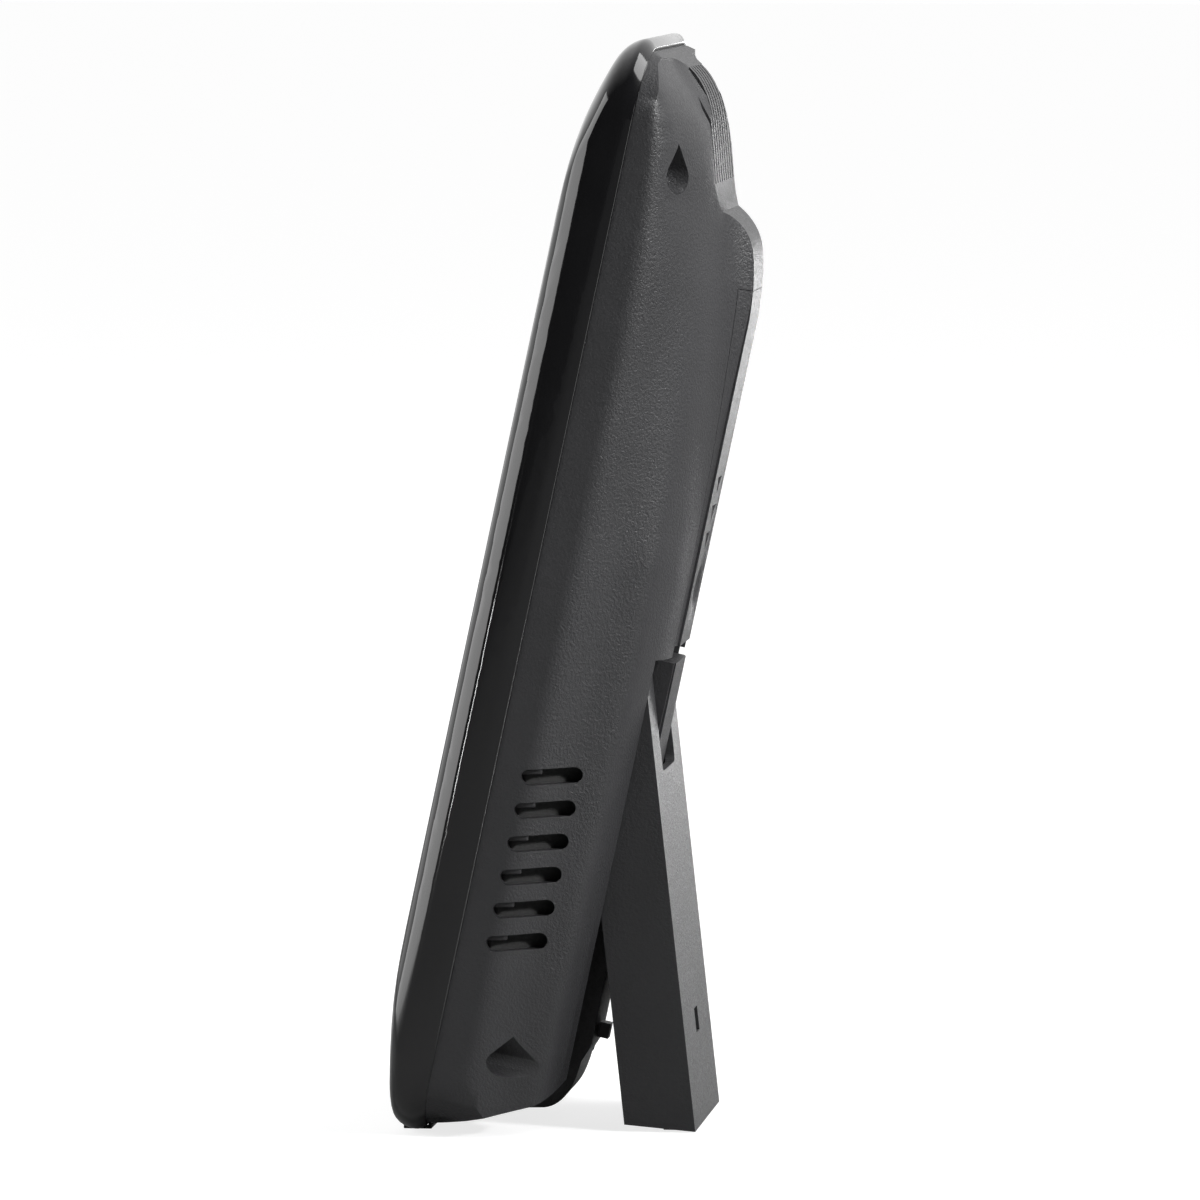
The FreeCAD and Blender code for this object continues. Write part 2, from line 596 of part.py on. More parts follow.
def main():
    os.makedirs("parts", exist_ok=True)
    pieces = build()
    place(pieces)
    for name, shape in pieces.items():
        if not shape.isValid():
            print("not valid:", name)
        shape.exportStep("parts/" + name + ".step")


main()
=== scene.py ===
import json
import math

import bmesh
import bpy
from mathutils import Matrix, Vector
from mathutils.bvhtree import BVHTree
from mathutils.interpolate import poly_3d_calc


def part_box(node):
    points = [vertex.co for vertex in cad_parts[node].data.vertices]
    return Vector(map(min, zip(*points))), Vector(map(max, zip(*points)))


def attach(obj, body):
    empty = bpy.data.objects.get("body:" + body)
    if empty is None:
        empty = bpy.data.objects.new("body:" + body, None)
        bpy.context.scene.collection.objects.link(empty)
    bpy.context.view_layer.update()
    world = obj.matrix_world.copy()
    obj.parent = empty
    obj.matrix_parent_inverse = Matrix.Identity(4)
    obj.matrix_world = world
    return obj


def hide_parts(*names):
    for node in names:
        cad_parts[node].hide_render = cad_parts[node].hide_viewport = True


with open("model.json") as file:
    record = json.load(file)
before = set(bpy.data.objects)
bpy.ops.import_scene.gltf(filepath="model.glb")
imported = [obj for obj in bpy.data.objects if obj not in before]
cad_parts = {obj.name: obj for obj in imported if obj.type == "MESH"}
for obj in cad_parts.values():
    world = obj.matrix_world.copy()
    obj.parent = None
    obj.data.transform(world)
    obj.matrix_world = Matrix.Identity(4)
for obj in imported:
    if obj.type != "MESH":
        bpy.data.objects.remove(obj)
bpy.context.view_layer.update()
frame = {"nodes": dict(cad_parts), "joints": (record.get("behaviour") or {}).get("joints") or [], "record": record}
nodes = frame["nodes"]

# ---------------------------------------------------------------------------
# Studio.  White paper, softboxes off the front corner, above behind and low
# down, a lamp on the shoulder, and a dim camera side, so that black plastic
# shows its edges.  The camera stands at the side, a little behind.
# ---------------------------------------------------------------------------
BEHIND_SIDE, ABOVE = math.radians(6.7), math.radians(4.7)
CAMERA_AWAY, LENS_MM, SENSOR_MM = 1.5, 285.7, 36
view_side = Vector((math.cos(BEHIND_SIDE) * math.cos(ABOVE),
                    math.sin(BEHIND_SIDE) * math.cos(ABOVE), math.sin(ABOVE)))
view_right = Vector((0, 0, 1)).cross(view_side).normalized()
view_up = view_side.cross(view_right)
aim = Vector((0, 0, 0.085)) + view_right * 0.00257 - view_up * 0.00315
camera = bpy.data.objects.new("camera", bpy.data.cameras.new("camera"))
camera.data.sensor_width, camera.data.lens = SENSOR_MM, LENS_MM
camera.data.clip_start, camera.data.clip_end = 0.05, 40
camera.location = aim + view_side * CAMERA_AWAY
camera.rotation_euler = view_side.to_track_quat("Z", "Y").to_euler()
bpy.context.scene.collection.objects.link(camera)
bpy.context.scene.camera = camera
bpy.context.scene.view_settings.view_transform = "Standard"


def softbox(name, place, look_at, width, height, power):
    """A rectangular lamp at place, facing look_at, that the camera doesn't see."""
    lamp = bpy.data.lights.new(name, "AREA")
    lamp.shape, lamp.size, lamp.size_y, lamp.energy = "RECTANGLE", width, height, power
    holder = bpy.data.objects.new(name, lamp)
    holder.location = place
    holder.rotation_euler = (Vector(place) - Vector(look_at)).to_track_quat("Z", "Y").to_euler()
    holder.visible_camera = False
    bpy.context.scene.collection.objects.link(holder)


softbox("front_corner", (0.30, -1.15, 0.25), (0, 0, 0.09), 1.0, 1.5, 15)
softbox("above_behind", (0.0, 0.75, 1.05), (0, 0, 0.1), 0.8, 0.8, 10)
softbox("low_glow", (-1.1, 0.17, 0.04), (0, 0.01, 0.04), 0.45, 0.14, 1.7)
softbox("edge_strip", (0.95, -0.75, 0.03), (0, 0, 0.04), 0.035, 0.16, 0.6)

shoulder_lamp = bpy.data.lights.new("shoulder_lamp", "SPOT")
shoulder_lamp.energy, shoulder_lamp.shadow_soft_size = 165, 0.12
shoulder_lamp.spot_size, shoulder_lamp.spot_blend = math.radians(12), 1.0
lamp_stand = bpy.data.objects.new("shoulder_lamp", shoulder_lamp)
lamp_stand.location = (0.40, 0.88, 0.58)
shoulder = Vector((0.03, 0.005, 0.128))
lamp_stand.rotation_euler = (lamp_stand.location - shoulder).to_track_quat("Z", "Y").to_euler()
bpy.context.scene.collection.objects.link(lamp_stand)


def air_shader():
    """White behind the telephone, dim on the camera's side, plain white when looked at."""
    sky = bpy.data.worlds.new("studio_air")
    bpy.context.scene.world = sky
    sky.use_nodes = True
    tree = sky.node_tree
    tree.nodes.clear()
    seen = tree.nodes.new("ShaderNodeLightPath")
    bright, dim = (tree.nodes.new("ShaderNodeBackground") for _ in range(2))
    bright.inputs["Color"].default_value = dim.inputs["Color"].default_value = (1, 1, 1, 1)
    bright.inputs["Strength"].default_value = 1.0
    where = tree.nodes.new("ShaderNodeTexCoord")
    part_of = tree.nodes.new("ShaderNodeSeparateXYZ")
    shade = tree.nodes.new("ShaderNodeMapRange")
    shade.inputs["From Min"].default_value, shade.inputs["From Max"].default_value = -0.5, 0.5
    shade.inputs["To Min"].default_value, shade.inputs["To Max"].default_value = 0.95, 0.05
    either = tree.nodes.new("ShaderNodeMixShader")
    out = tree.nodes.new("ShaderNodeOutputWorld")
    tree.links.new(where.outputs["Generated"], part_of.inputs[0])
    tree.links.new(part_of.outputs["X"], shade.inputs["Value"])
    tree.links.new(shade.outputs["Result"], dim.inputs["Strength"])
    tree.links.new(seen.outputs["Is Camera Ray"], either.inputs[0])
    tree.links.new(dim.outputs[0], either.inputs[1])
    tree.links.new(bright.outputs[0], either.inputs[2])
    tree.links.new(either.outputs[0], out.inputs["Surface"])


air_shader()


def paper_sweep():
    """A wide sheet of white paper at the height the telephone stands on."""
    mesh = bpy.data.meshes.new("paper_sweep")
    mesh.from_pydata([(-9, -9, 0), (9, -9, 0), (9, 9, 0), (-9, 9, 0)], [], [(0, 1, 2, 3)])
    paper = bpy.data.objects.new("paper_sweep", mesh)
    bpy.context.scene.collection.objects.link(paper)
    white = bpy.data.materials.new("paper_white")
    white.use_nodes = True
    tree = white.node_tree
    tree.nodes.clear()
    seen = tree.nodes.new("ShaderNodeLightPath")
    lit, grey = (tree.nodes.new("ShaderNodeBsdfDiffuse") for _ in range(2))
    lit.inputs["Color"].default_value = (0.4, 0.4, 0.4, 1)
    grey.inputs["Color"].default_value = (0.3, 0.3, 0.3, 1)
    glow = tree.nodes.new("ShaderNodeEmission")
    glow.inputs["Strength"].default_value = 0.78
    both = tree.nodes.new("ShaderNodeAddShader")
    either = tree.nodes.new("ShaderNodeMixShader")
    out = tree.nodes.new("ShaderNodeOutputMaterial")
    tree.links.new(lit.outputs[0], both.inputs[0])
    tree.links.new(glow.outputs[0], both.inputs[1])
    tree.links.new(seen.outputs["Is Camera Ray"], either.inputs[0])
    tree.links.new(grey.outputs[0], either.inputs[1])
    tree.links.new(both.outputs[0], either.inputs[2])
    tree.links.new(either.outputs[0], out.inputs["Surface"])
    mesh.materials.append(white)
    return paper


paper_sweep()

# ---------------------------------------------------------------------------
# Rear housing.  One black ABS moulding, 2 mm thick, spark-eroded to a fine
# matte grain, with grip grooves over its top edge and vents down each side.
# A small step is moulded in the front upper part of each vent.
# ---------------------------------------------------------------------------
MM = 0.001
hinges = {joint["name"]: joint for joint in frame["joints"]}
hinge_at = Vector(hinges["stand_hinge"]["pos_m"])
lean_up = -Vector(hinges["battery_cover_slide"]["axis"])
lean_back = lean_up.cross(Vector((1, 0, 0)))
HINGE_DEPTH, HINGE_HEIGHT = 24.0, 58.8
slab_foot = hinge_at - HINGE_DEPTH * MM * lean_back - HINGE_HEIGHT * MM * lean_up
# On the slab, x runs across, y up the slab, and z out of its front face.
slab_turn = Matrix((Vector((1, 0, 0)), lean_up, -lean_back)).transposed().to_4x4()
slab = Matrix.Translation(slab_foot) @ slab_turn
to_slab = slab.inverted()


def finish(name, colour, roughness, metallic=0.0):
    """A new material with plain values set; returns it and its shader."""
    made = bpy.data.materials.new(name)
    made.use_nodes = True
    shader = made.node_tree.nodes["Principled BSDF"]
    shader.inputs["Base Color"].default_value = (*colour, 1)
    shader.inputs["Roughness"].default_value = roughness
    shader.inputs["Metallic"].default_value = metallic
    return made, shader


def grained(name, dark, light, rough_low, rough_high, grain, depth, broad=60.0, metallic=0.0):
    """A finish with a broad uneven tone, and a fine grain in height and gloss."""
    made, shader = finish(name, dark, rough_low, metallic)
    tree = made.node_tree
    place = tree.nodes.new("ShaderNodeTexCoord")
    cloud = tree.nodes.new("ShaderNodeTexNoise")
    cloud.inputs["Scale"].default_value, cloud.inputs["Detail"].default_value = broad, 3.0
    tone = tree.nodes.new("ShaderNodeMix")
    tone.data_type = "RGBA"
    tone.inputs[6].default_value, tone.inputs[7].default_value = (*dark, 1), (*light, 1)
    speck = tree.nodes.new("ShaderNodeTexNoise")
    speck.inputs["Scale"].default_value = grain
    speck.inputs["Detail"].default_value, speck.inputs["Roughness"].default_value = 3.0, 0.6
    gloss = tree.nodes.new("ShaderNodeMapRange")
    gloss.inputs["From Min"].default_value, gloss.inputs["From Max"].default_value = 0.3, 0.7
    gloss.inputs["To Min"].default_value, gloss.inputs["To Max"].default_value = rough_low, rough_high
    bump = tree.nodes.new("ShaderNodeBump")
    bump.inputs["Strength"].default_value, bump.inputs["Distance"].default_value = 1.0, depth
    tree.links.new(place.outputs["Object"], cloud.inputs["Vector"])
    tree.links.new(place.outputs["Object"], speck.inputs["Vector"])
    tree.links.new(cloud.outputs["Fac"], tone.inputs[0])
    tree.links.new(tone.outputs[2], shader.inputs["Base Color"])
    tree.links.new(speck.outputs["Fac"], gloss.inputs["Value"])
    tree.links.new(gloss.outputs["Result"], shader.inputs["Roughness"])
    tree.links.new(speck.outputs["Fac"], bump.inputs["Height"])
    tree.links.new(bump.outputs["Normal"], shader.inputs["Normal"])
    return made


def piece_from(name, mesh, material, body, slot_name, *stands_for):
    """A finished piece: the mesh in one material, riding on a body."""
    if material is not None:
        mesh.materials.clear()
        mesh.materials.append(material)
    made = bpy.data.objects.new(name, mesh)
    bpy.context.scene.collection.objects.link(made)
    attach(made, body)
    if stands_for:
        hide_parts(*stands_for)
    return made


def sewn_copy(node, name, edge, flats=False):
    """The node's shape as a new mesh, its triangles sewn, smooth up to an edge angle."""
    shape = bmesh.new()
    shape.from_mesh(nodes[node].data)
    bmesh.ops.remove_doubles(shape, verts=shape.verts, dist=2e-6)
    if flats:
        bmesh.ops.dissolve_limit(shape, angle_limit=math.radians(0.6), verts=shape.verts,
                                 edges=shape.edges)
    mesh = bpy.data.meshes.new(name)
    shape.to_mesh(mesh)
    shape.free()
    if "custom_normal" in mesh.attributes:
        mesh.attributes.remove(mesh.attributes["custom_normal"])
    mesh.shade_smooth()
    mesh.set_sharp_from_angle(angle=math.radians(edge))
    return mesh


def soft_edges(made, width, steps=3):
    """Rounds a piece's moulded edges."""
    bevel = made.modifiers.new("soft_edges", "BEVEL")
    bevel.width, bevel.segments = width, steps
    bevel.limit_method, bevel.angle_limit = "ANGLE", math.radians(28)
    bevel.use_clamp_overlap, bevel.harden_normals = True, True
    return made


def plain_mesh(name, shape, edge=35):
    """A bmesh turned into a mesh with outward faces, smooth up to an edge angle."""
    bmesh.ops.recalc_face_normals(shape, faces=shape.faces)
    mesh = bpy.data.meshes.new(name)
    shape.to_mesh(mesh)
    shape.free()
    mesh.shade_smooth()
    mesh.set_sharp_from_angle(angle=math.radians(edge))
    return mesh


def block(name, x0, x1, y0, y1, z0, z1, soft=0.0):
    """A block in the slab's own measure, its edges rounded by soft, all in millimetres."""
    shape = bmesh.new()
    bmesh.ops.create_cube(shape, size=1.0)
    for v in shape.verts:
        v.co = Vector(((x0, x1)[v.co.x > 0], (y0, y1)[v.co.y > 0], (z0, z1)[v.co.z > 0])) * MM
    if soft:
        bmesh.ops.bevel(shape, geom=shape.edges[:], offset=soft * MM, segments=3, profile=0.5,
                        affect="EDGES", clamp_overlap=True)
    return plain_mesh(name, shape)


def new_tree(name, inputs):
    """An empty geometry tree with named inputs; returns it with its group nodes."""
    tree = bpy.data.node_groups.new(name, "GeometryNodeTree")
    tree.interface.new_socket("Points", in_out="INPUT", socket_type="NodeSocketGeometry")
    for label, kind in inputs:
        tree.interface.new_socket(label, in_out="INPUT", socket_type="NodeSocket" + kind)
    tree.interface.new_socket("Pieces", in_out="OUTPUT", socket_type="NodeSocketGeometry")
    return tree, tree.nodes.new("NodeGroupInput"), tree.nodes.new("NodeGroupOutput")


def row_tree():
    """Copies of one piece at even steps along a line."""
    tree, given, result = new_tree("set_in_a_row", [("Piece", "Object"), ("Count", "Int"),
                                                    ("First", "Vector"), ("Step", "Vector"),
                                                    ("Finish", "Material")])
    line = tree.nodes.new("GeometryNodeMeshLine")
    line.mode, line.count_mode = "OFFSET", "TOTAL"
    one = tree.nodes.new("GeometryNodeObjectInfo")
    copies = tree.nodes.new("GeometryNodeInstanceOnPoints")
    real = tree.nodes.new("GeometryNodeRealizeInstances")
    coat = tree.nodes.new("GeometryNodeSetMaterial")
    tree.links.new(given.outputs["Count"], line.inputs["Count"])
    tree.links.new(given.outputs["First"], line.inputs["Start Location"])
    tree.links.new(given.outputs["Step"], line.inputs["Offset"])
    tree.links.new(given.outputs["Piece"], one.inputs["Object"])
    tree.links.new(line.outputs["Mesh"], copies.inputs["Points"])
    tree.links.new(one.outputs["Geometry"], copies.inputs["Instance"])
    tree.links.new(copies.outputs["Instances"], real.inputs["Geometry"])
    tree.links.new(real.outputs["Geometry"], coat.inputs["Geometry"])
    tree.links.new(given.outputs["Finish"], coat.inputs["Material"])
    tree.links.new(coat.outputs["Geometry"], result.inputs["Pieces"])
    return tree


def spot_tree():
    """Copies of one piece at given points, each as wide as its point says."""
    tree, given, result = new_tree("set_at_points", [("Piece", "Object"), ("Turn", "Vector"),
                                                     ("Finish", "Material")])
    wide = tree.nodes.new("GeometryNodeInputNamedAttribute")
    wide.data_type = "FLOAT_VECTOR"
    wide.inputs["Name"].default_value = "width"
    one = tree.nodes.new("GeometryNodeObjectInfo")
    copies = tree.nodes.new("GeometryNodeInstanceOnPoints")
    real = tree.nodes.new("GeometryNodeRealizeInstances")
    coat = tree.nodes.new("GeometryNodeSetMaterial")
    tree.links.new(given.outputs["Points"], copies.inputs["Points"])
    tree.links.new(given.outputs["Piece"], one.inputs["Object"])
    tree.links.new(one.outputs["Geometry"], copies.inputs["Instance"])
    tree.links.new(given.outputs["Turn"], copies.inputs["Rotation"])
    tree.links.new(wide.outputs["Attribute"], copies.inputs["Scale"])
    tree.links.new(copies.outputs["Instances"], real.inputs["Geometry"])
    tree.links.new(real.outputs["Geometry"], coat.inputs["Geometry"])
    tree.links.new(given.outputs["Finish"], coat.inputs["Material"])
    tree.links.new(coat.outputs["Geometry"], result.inputs["Pieces"])
    return tree


def grown(name, tree, piece, material, points=(), widths=(), **values):
    """Runs a geometry tree and returns its result as a plain mesh, on the slab."""
    base = bpy.data.meshes.new(name)
    base.from_pydata([Vector(p) * MM for p in points] or [(0, 0, 0)], [], [])
    if widths:
        held = base.attributes.new("width", "FLOAT_VECTOR", "POINT")
        for value, width in zip(held.data, widths):
            value.vector = width
    pattern = bpy.data.objects.new(name + "_pattern", piece)
    holder = bpy.data.objects.new(name + "_holder", base)
    for made in (pattern, holder):
        bpy.context.scene.collection.objects.link(made)
    nodes_on = holder.modifiers.new("pieces", "NODES")
    nodes_on.node_group = tree
    sockets = {s.name: s.identifier for s in tree.interface.items_tree if s.in_out == "INPUT"}
    nodes_on[sockets["Piece"]] = pattern
    nodes_on[sockets["Finish"]] = material
    for label, value in values.items():
        nodes_on[sockets[label]] = value
    bpy.context.view_layer.update()
    ready = holder.evaluated_get(bpy.context.evaluated_depsgraph_get())
    mesh = bpy.data.meshes.new_from_object(ready, preserve_all_data_layers=True,
                                           depsgraph=bpy.context.evaluated_depsgraph_get())
    mesh.name = name
    holder.modifiers.clear()
    for spent in (pattern, holder):
        bpy.data.objects.remove(spent)
    mesh.transform(slab)
    return mesh


in_a_row, at_points = row_tree(), spot_tree()
matte_black = grained("spark_eroded_black", (0.018, 0.018, 0.019), (0.027, 0.027, 0.029),
                      0.36, 0.54, 2300.0, 0.00011)
piece_from("rear_housing_moulding", sewn_copy("rear_housing", "rear_housing_moulding", 38),
           matte_black, "housing", "textured_black", "rear_housing")

skin = bmesh.new()
skin.from_mesh(nodes["rear_housing"].data)
skin_hits = BVHTree.FromBMesh(skin)
skin.free()


def skin_at(depth, height):
    """How far out the housing's side reaches, in millimetres, at a depth and height."""
    start = slab @ Vector((60 * MM, height * MM, -depth * MM))
    return skin_hits.ray_cast(start, Vector((-1, 0, 0)))[0].x / MM


VENTS, VENT_TOP, VENT_PITCH = 6, 59.9, 5.3
VENT_TILT = math.radians(13)
TILT_DROP = 3.94   # brings the tilted steps level with their vents
for side, hand in ((1, "left"), (-1, "right")):
    out = [skin_at(15.5, VENT_TOP - VENT_PITCH * (n + 0.5)) for n in (0, VENTS - 1)]
    step_in = (out[1] - out[0]) / (VENTS - 1)
    wedge = block("vent_step", *sorted((side * (out[0] - 1.7), side * (out[0] - 0.45))),
                  0.3, 1.5, -16.6, -12.6, 0.25)
    wedge.transform(Matrix.Rotation(VENT_TILT, 4, "X"))
    steps = grown("vent_steps_" + hand, in_a_row, wedge, matte_black, Count=VENTS,
                  First=(0.0, (VENT_TOP - TILT_DROP) * MM, 0.0),
                  Step=(side * step_in * MM, -VENT_PITCH * MM, 0.0))
    piece_from("vent_steps_" + hand, steps, None, "housing", "textured_black")

# ---------------------------------------------------------------------------
# Battery door.  A thin cover that makes the flat strip down the back, with
# three pressed arrows and a thumb scoop for sliding it down.
# ---------------------------------------------------------------------------
piece_from("battery_door_cover", sewn_copy("battery_door", "battery_door_cover", 30),
           matte_black, "battery_cover", "textured_black", "battery_door")

# ---------------------------------------------------------------------------
# Stand.  A black ABS channel with the same grain as the back; its moulded
# edges are rounded to about half a millimetre.  It turns on two steel pins
# with plastic washers that give it its open position.
# ---------------------------------------------------------------------------
stand = piece_from("stand_channel", sewn_copy("stand", "stand_channel", 30, flats=True),
                   matte_black, "stand", "textured_black", "stand")
soft_edges(stand, 0.45 * MM)
bright_steel = grained("zinc_plated_steel", (0.45, 0.45, 0.47), (0.58, 0.58, 0.60),
                       0.24, 0.40, 2600.0, 0.000008, 300.0, 1.0)
washer_black = grained("washer_nylon", (0.016, 0.016, 0.017), (0.026, 0.026, 0.027),
                       0.42, 0.56, 1500.0, 0.00002)
for node, cover in (("stand_pins", bright_steel), ("detent_washers", washer_black)):
    nodes[node].data.materials.clear()
    nodes[node].data.materials.append(cover)

# ---------------------------------------------------------------------------
# Feet.  Soft black rubber: two pads under the front lip, and a strip under
# the stand's heel, ribbed across so that it doesn't creep on a desk.
# ---------------------------------------------------------------------------
rubber = grained("foot_rubber_black", (0.014, 0.014, 0.014), (0.024, 0.024, 0.023),
                 0.62, 0.80, 900.0, 0.00004)
soft_edges(piece_from("front_foot_pads", sewn_copy("front_feet", "front_foot_pads", 30, flats=True),
                      rubber, "housing", "foot_rubber", "front_feet"), 0.25 * MM)
strip_low, strip_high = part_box("stand_foot")
strip = bmesh.new()
bmesh.ops.create_cube(strip, size=1.0)
RIB_DEEP = 0.35 * MM
for v in strip.verts:
    v.co = Vector(((strip_low.x, strip_high.x)[v.co.x > 0], (strip_low.y, strip_high.y)[v.co.y > 0],
                   (strip_low.z + RIB_DEEP, strip_high.z)[v.co.z > 0]))
piece_from("heel_strip", plain_mesh("heel_strip", strip), rubber, "stand", "foot_rubber",
           "stand_foot")
rib = bmesh.new()
bmesh.ops.create_cube(rib, size=1.0)
for v in rib.verts:
    v.co = Vector(((-0.45, 0.45)[v.co.x > 0] * MM, (strip_low.y, strip_high.y)[v.co.y > 0],
                   (strip_low.z, strip_low.z + 2 * RIB_DEEP)[v.co.z > 0]))
rib_mesh = plain_mesh("heel_rib", rib)
rib_mesh.transform(to_slab)
HEEL_RIBS, HEEL_RIB_STEP = 18, 1.7
heel_ribs = grown("heel_ribs", in_a_row, rib_mesh, rubber, Count=HEEL_RIBS,
                  First=(-HEEL_RIB_STEP * (HEEL_RIBS - 1) / 2 * MM, 0.0, 0.0),
                  Step=(HEEL_RIB_STEP * MM, 0.0, 0.0))
piece_from("heel_ribs", heel_ribs, None, "stand", "foot_rubber")

# ---------------------------------------------------------------------------
# Front bezel.  A polished black moulding with a deep shine; slight waves in
# the surface break up its reflections as real polished plastic does.
# ---------------------------------------------------------------------------
def polished_black():
    """Deep black with a clear skin, a little uneven in gloss."""
    made, shader = finish("polished_black", (0.004, 0.004, 0.0045), 0.09)
    shader.inputs["Coat Weight"].default_value = 0.3
    shader.inputs["Coat Roughness"].default_value = 0.03
    tree = made.node_tree
    place = tree.nodes.new("ShaderNodeTexCoord")
    waves = tree.nodes.new("ShaderNodeTexNoise")
    waves.inputs["Scale"].default_value, waves.inputs["Detail"].default_value = 90.0, 2.0
    tone = tree.nodes.new("ShaderNodeMix")
    tone.data_type = "RGBA"
    tone.inputs[6].default_value = (0.003, 0.003, 0.0035, 1)
    tone.inputs[7].default_value = (0.006, 0.006, 0.0065, 1)
    smears = tree.nodes.new("ShaderNodeMapRange")
    smears.inputs["To Min"].default_value, smears.inputs["To Max"].default_value = 0.05, 0.13
    ripple = tree.nodes.new("ShaderNodeBump")
    ripple.inputs["Strength"].default_value, ripple.inputs["Distance"].default_value = 0.25, 0.00004
    tree.links.new(place.outputs["Object"], waves.inputs["Vector"])
    tree.links.new(waves.outputs["Fac"], tone.inputs[0])
    tree.links.new(tone.outputs[2], shader.inputs["Base Color"])
    tree.links.new(waves.outputs["Fac"], smears.inputs["Value"])
    tree.links.new(smears.outputs["Result"], shader.inputs["Roughness"])
    tree.links.new(waves.outputs["Fac"], ripple.inputs["Height"])
    tree.links.new(ripple.outputs["Normal"], shader.inputs["Normal"])
    return made


gloss_black = polished_black()


def rounded_rim(x, y, half_x, half_y, corner, inset):
    """Points round a rounded rectangle drawn in by inset."""
    half_x, half_y = half_x - inset, half_y - inset
    corner = min(max(corner - inset, 0.05), half_x, half_y)
    rim = []
    for quarter, (sx, sy) in enumerate(((1, 1), (-1, 1), (-1, -1), (1, -1))):
        for n in range(9):
            turn = math.radians(90 * quarter + n * 11.25)
            rim.append((x + sx * (half_x - corner) + corner * math.cos(turn),
                        y + sy * (half_y - corner) + corner * math.sin(turn)))
    return rim


# Depth from the face, then the bottom, top, half width and corner radius there.
BEZEL_RIMS = [(0.0, 25.0, 152.0, 28.0, 7.0), (0.3, 18.6, 157.2, 29.6, 8.4), (1.1, 12.2, 162.0, 30.8, 9.6),
              (1.9, 7.6, 165.2, 31.3, 10.2), (3.2, 2.5, 169.4, 31.8, 11.0), (4.4, 0.8, 171.9, 31.95, 11.4),
              (5.9, 0.1, 173.4, 32.0, 11.7), (7.2, 0.0, 174.0, 32.0, 11.8), (8.9, 0.9, 173.0, 31.7, 11.4)]
RIM_STEPS, SKIN_NEAR = 6, 0.45 * MM


def between(rims, place):
    """The rim at a place along the list, on an even curve through its neighbours."""
    n = min(int(place), len(rims) - 2)
    u = place - n
    a, b, c, d = (rims[min(max(k, 0), len(rims) - 1)] for k in (n - 1, n, n + 1, n + 2))
    return [0.5 * (2 * q + (r - p) * u + (2 * p - 5 * q + 4 * r - w) * u * u
                   + (3 * q - p - 3 * r + w) * u ** 3) for p, q, r, w in zip(a, b, c, d)]


def even_shine(mesh, rims):
    """Gives the outer skin the normals of one even shell drawn through the rims."""
    shell = bmesh.new()
    rings = []
    for n in range(RIM_STEPS * (len(rims) - 1) + 1):
        depth, low_y, high_y, half, corner = between(rims, n / RIM_STEPS)
        rings.append([shell.verts.new(slab @ (Vector((*p, -depth)) * MM)) for p in
                      rounded_rim(0.0, (low_y + high_y) / 2, half, (high_y - low_y) / 2, corner, 0.0)])
    for a, b in zip(rings, rings[1:]):
        for n in range(len(a)):
            m = (n + 1) % len(a)
            shell.faces.new((a[n], a[m], b[m], b[n]))
    bmesh.ops.triangulate(shell, faces=shell.faces[:])
    shell.normal_update()
    shell.faces.ensure_lookup_table()
    near = BVHTree.FromBMesh(shell)
    normals = [Vector(n.vector) for n in mesh.corner_normals]
    for face in mesh.polygons:
        for corner in face.loop_indices:
            at = mesh.vertices[mesh.loops[corner].vertex_index].co
            spot, facing, index, gap = near.find_nearest(at)
            if gap > SKIN_NEAR or abs(facing.dot(face.normal)) < 0.7:
                continue
            corners = shell.faces[index].verts
            shares = poly_3d_calc([v.co for v in corners], spot)
            even = sum((v.normal * share for v, share in zip(corners, shares)), Vector()).normalized()
            normals[corner] = even if even.dot(face.normal) > 0 else -even
    shell.free()
    mesh.normals_split_custom_set(normals)
    return mesh


piece_from("front_bezel_moulding",
           even_shine(sewn_copy("front_bezel", "front_bezel_moulding", 40), BEZEL_RIMS),
           gloss_black, "housing", "gloss_black", "front_bezel")


def reach(node):
    """The node's lowest and highest corner in the slab's measure, in millimetres."""
    at = [to_slab @ v.co / MM for v in nodes[node].data.vertices]
    return (Vector([min(v[i] for v in at) for i in range(3)]),
            Vector([max(v[i] for v in at) for i in range(3)]))


def cushion(name, x, y, half_x, half_y, corner, profile, edge=35):
    """A pressed shape: rounded rims, one for each (inset, height), closed at both ends."""
    shape = bmesh.new()
    rims = [[shape.verts.new(Vector((*p, height)) * MM)
             for p in rounded_rim(x, y, half_x, half_y, corner, inset)] for inset, height in profile]
    for low, high in zip(rims, rims[1:]):
        for n in range(len(low)):
            m = (n + 1) % len(low)
            shape.faces.new((low[n], low[m], high[m], high[n]))
    for rim in (rims[0], rims[-1]):
        shape.faces.new(rim)
    mesh = plain_mesh(name, shape, edge)
    mesh.transform(slab)
    return mesh


# ---------------------------------------------------------------------------
# Seam bead.  A fine moulded bead round the bezel's rear edge, where it meets
# the housing; it hides the parting line and catches the light.
# ---------------------------------------------------------------------------


def join_loops(shape, loops):
    """Faces between each loop and the next, and from the last back to the first."""
    for a, b in zip(loops, loops[1:] + loops[:1]):
        for n in range(len(a)):
            m = (n + 1) % len(a)
            shape.faces.new((a[n], a[m], b[m], b[n]))


